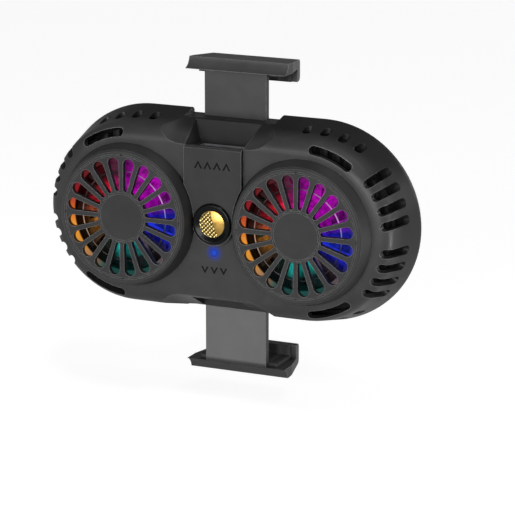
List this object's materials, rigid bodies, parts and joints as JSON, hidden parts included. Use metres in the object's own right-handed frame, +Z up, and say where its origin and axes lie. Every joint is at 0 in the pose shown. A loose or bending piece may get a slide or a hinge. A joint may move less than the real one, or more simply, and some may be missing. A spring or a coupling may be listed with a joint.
{
  "type": "phone cooling fan",
  "caption": "Clip-on phone cooler: lit fans behind slotted round grilles in a vented stadium housing, with a push button, a cold plate and jaws that open and close together.",
  "frame": {"origin": "centre of the cold plate's contact face, midway between the fans", "axes": "+X from the left fan to the right fan, +Y out of the cold face towards the phone, +Z up towards the output socket"},
  "size_m": [0.104, 0.032, 0.0858],
  "materials": {
    "shell": "fine matte texture, near black",
    "rear": "matte, near black",
    "panel": "satin, near black",
    "grille": "fine matte texture, near black",
    "arm": "satin, dark grey",
    "pad": "soft matte",
    "bezel": "polished black",
    "cap": "gold plating, knurled on one side",
    "light_pipe": "clear, blue when lit",
    "switch": "moulded black",
    "plunger": "moulded grey",
    "led": "cast resin",
    "socket_metal": "nickel-plated sheet",
    "socket_core": "moulded black",
    "board": "green solder mask",
    "cold": "brushed and lightly anodised",
    "module": "white ceramic plates",
    "gasket": "closed-cell foam",
    "sink": "extruded, plain",
    "fan_plastic": "moulded, dark",
    "impeller": "smoked, slightly see-through",
    "steel": "ground",
    "magnet": "bonded magnet, matt",
    "stator": "varnished laminations",
    "bronze": "oil-filled sleeve",
    "led_board": "white mask with cast chips",
    "light_ring": "milky, spreads the light",
    "cage": "moulded, slick",
    "gear": "acetal, off-white",
    "spring": "spring wire",
    "screw": "blackened"
  },
  "bodies": {
    "housing": {"button_bezel": "bezel", "case_screws": "screw", "centre_panel": "panel", "circuit_board": "board", "clamp_cage": "cage", "clamp_spring": "spring", "cold_plate": "cold", "front_shell": "shell", "left_bearing": "bronze", "left_cooling_module": "module", "left_fan_frame": "fan_plastic", "left_foam_gasket": "gasket", "left_grille": "grille", "left_heat_sink": "sink", "left_led_ring": "led_board", "left_light_ring": "light_ring", "left_stator": "stator", "pinion_pin": "steel", "rear_cover": "rear", "right_bearing": "bronze", "right_cooling_module": "module", "right_fan_frame": "fan_plastic", "right_foam_gasket": "gasket", "right_grille": "grille", "right_heat_sink": "sink", "right_led_ring": "led_board", "right_light_ring": "light_ring", "right_stator": "stator", "status_led": "led", "status_light_pipe": "light_pipe", "tact_switch": "switch", "usb_a_shell": "socket_metal", "usb_a_tongue": "socket_core", "usb_c_shell": "socket_metal", "usb_c_tongue": "socket_core"},
    "left_fan_rotor": {"left_impeller": "impeller", "left_rotor_shaft": "steel", "left_rotor_magnet": "magnet"},
    "right_fan_rotor": {"right_impeller": "impeller", "right_rotor_shaft": "steel", "right_rotor_magnet": "magnet"},
    "upper_clamp": {"upper_arm": "arm", "upper_jaw_pad": "pad"},
    "lower_clamp": {"lower_arm": "arm", "lower_jaw_pad": "pad"},
    "sync_gear": {"sync_pinion": "gear"},
    "button": {"button_cap": "cap", "switch_plunger": "plunger"}
  },
  "joints": [
    {"name": "left_fan_spin", "type": "hinge", "parent": "housing", "child": "left_fan_rotor", "pos_m": [-0.025, -0.012, 0], "axis": [0, 1, 0], "continuous": true},
    {"name": "right_fan_spin", "type": "hinge", "parent": "housing", "child": "right_fan_rotor", "pos_m": [0.025, -0.012, 0], "axis": [0, 1, 0], "continuous": true},
    {"name": "sync_gear_spin", "type": "hinge", "parent": "housing", "child": "sync_gear", "pos_m": [0, -0.0044, -0.0022], "axis": [0, 1, 0], "range_deg": [-97, 73]},
    {"name": "upper_jaw_slide", "type": "slide", "parent": "housing", "child": "upper_clamp", "axis": [0, 0, 1], "range_m": [-0.008, 0.006], "deforming": ["clamp_spring"]},
    {"name": "lower_jaw_slide", "type": "slide", "parent": "housing", "child": "lower_clamp", "axis": [0, 0, -1], "range_m": [-0.0081, 0.0061]},
    {"name": "button_press", "type": "slide", "parent": "housing", "child": "button", "axis": [0, 1, 0], "range_m": [0, 0.0006], "stiffness_N_per_m": 400}
  ],
  "couplings": [
    {"joint": "lower_jaw_slide", "follows": "upper_jaw_slide", "ratio": 1},
    {"joint": "sync_gear_spin", "follows": "upper_jaw_slide", "rad_per_m": 208.33}
  ]
}
